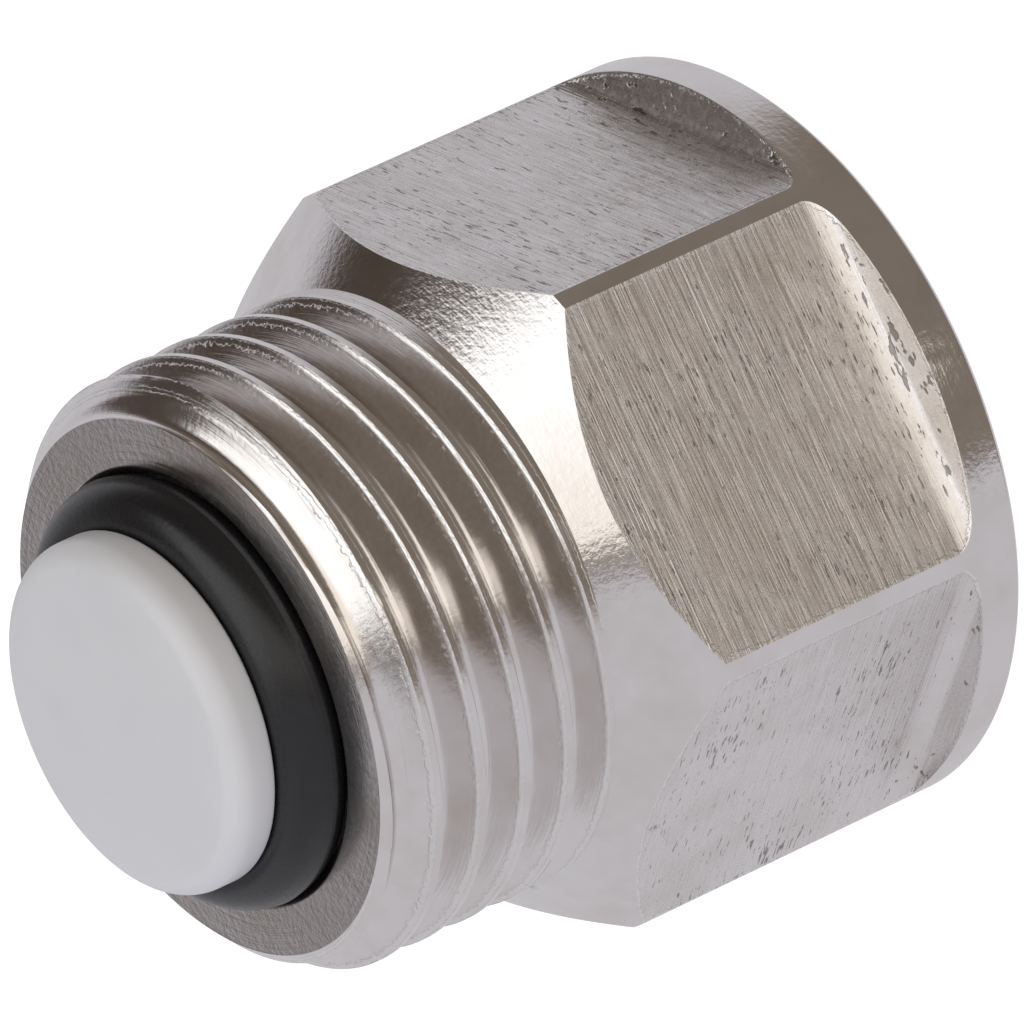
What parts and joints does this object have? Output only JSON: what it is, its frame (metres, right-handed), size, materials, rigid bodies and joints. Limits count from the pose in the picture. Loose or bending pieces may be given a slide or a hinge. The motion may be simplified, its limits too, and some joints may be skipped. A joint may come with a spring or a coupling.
{
  "type": "non-return valve",
  "caption": "Small nickel-plated brass non-return valve with a male pipe thread, spanner flats, a female end and a sprung white plunger that seals with a rubber ring.",
  "frame": {"origin": "centre of the female end face, which the valve stands on", "axes": "+Z along the valve's axis from the female end to the male end and the plunger's head; -Y out of one spanner flat"},
  "size_m": [0.0262, 0.0262, 0.0277],
  "materials": {
    "plated_brass": "nickel plated, turned and milled",
    "white_plastic": "satin moulded",
    "ring_rubber": "satin",
    "spring_wire": "bright drawn"
  },
  "bodies": {
    "valve_body": {"valve_body": "plated_brass", "spring": "spring_wire"},
    "plunger": {"plunger": "white_plastic", "o_ring": "ring_rubber"}
  },
  "joints": [
    {"name": "plunger_slide", "type": "slide", "parent": "valve_body", "child": "plunger", "axis": [0, 0, 1], "range_m": [0, 0.003], "stiffness_N_per_m": 400, "springref_m": -0.004, "deforming": ["spring"]}
  ]
}
